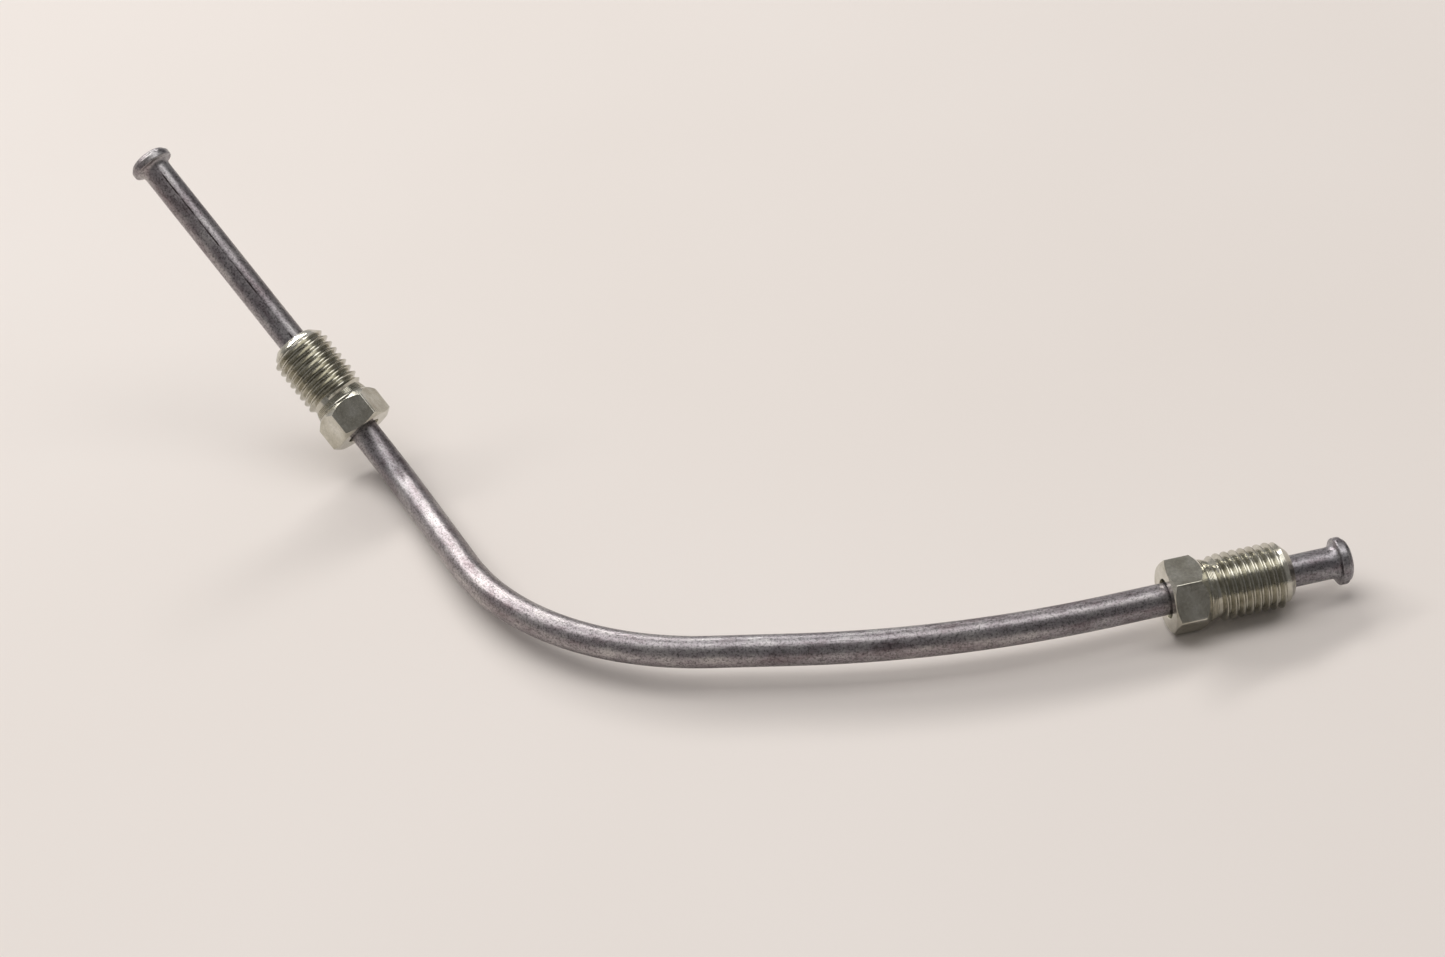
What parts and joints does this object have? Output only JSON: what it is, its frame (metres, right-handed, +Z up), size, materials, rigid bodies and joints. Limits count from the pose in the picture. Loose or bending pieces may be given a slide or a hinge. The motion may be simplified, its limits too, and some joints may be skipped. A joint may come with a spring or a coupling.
{
  "type": "brake line",
  "caption": "Short bent steel brake pipe with a formed flare on either end and loose male tube nuts that slide and seat against the flares.",
  "frame": {"origin": "on the table, under the centre of the bounding box, with the line lying as it rests", "axes": "+Z up from the table, +X towards the short end"},
  "size_m": [0.1854, 0.0972, 0.0462],
  "materials": {
    "pipe_steel": "drawn steel, mottled grey, glossy",
    "nut_steel": "zinc plated, satin"
  },
  "bodies": {
    "pipe": {"pipe": "pipe_steel"},
    "long_nut": {"long_end_nut": "nut_steel"},
    "short_nut": {"short_end_nut": "nut_steel"}
  },
  "joints": [
    {"name": "long_nut_slide", "type": "slide", "parent": "pipe", "child": "long_nut", "axis": [-0.558, 0.5464, 0.6246], "range_m": [0, 0.0373]},
    {"name": "short_nut_slide", "type": "slide", "parent": "pipe", "child": "short_nut", "axis": [0.978, 0.2078, -0.0168], "range_m": [-0.0081, 0.0072]}
  ]
}
